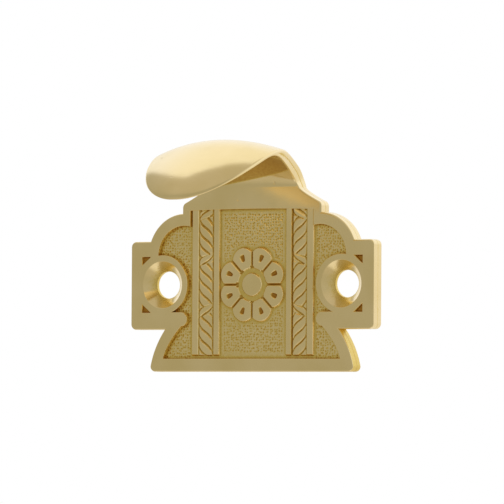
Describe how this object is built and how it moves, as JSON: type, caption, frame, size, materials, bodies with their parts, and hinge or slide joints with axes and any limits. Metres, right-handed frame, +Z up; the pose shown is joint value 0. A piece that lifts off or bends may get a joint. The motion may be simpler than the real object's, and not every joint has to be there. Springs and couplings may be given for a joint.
{
  "type": "hook sash lift",
  "caption": "Ornamental hook sash lift: a flat plate with two countersunk screw holes and a low-relief panel, whose neck curls forward into a crowned finger tab.",
  "frame": {"origin": "on the flat mounting face, midway between the two screw holes", "axes": "+Y into the sash rail that the lift screws to, so the ornament faces -Y; +X to the right along the line of the screw holes; +Z up towards the hook"},
  "size_m": [0.0508, 0.0281, 0.0404],
  "materials": {
    "cast_brass": "polished"
  },
  "bodies": {
    "root": {"lift_casting": "cast_brass"}
  },
  "joints": []
}
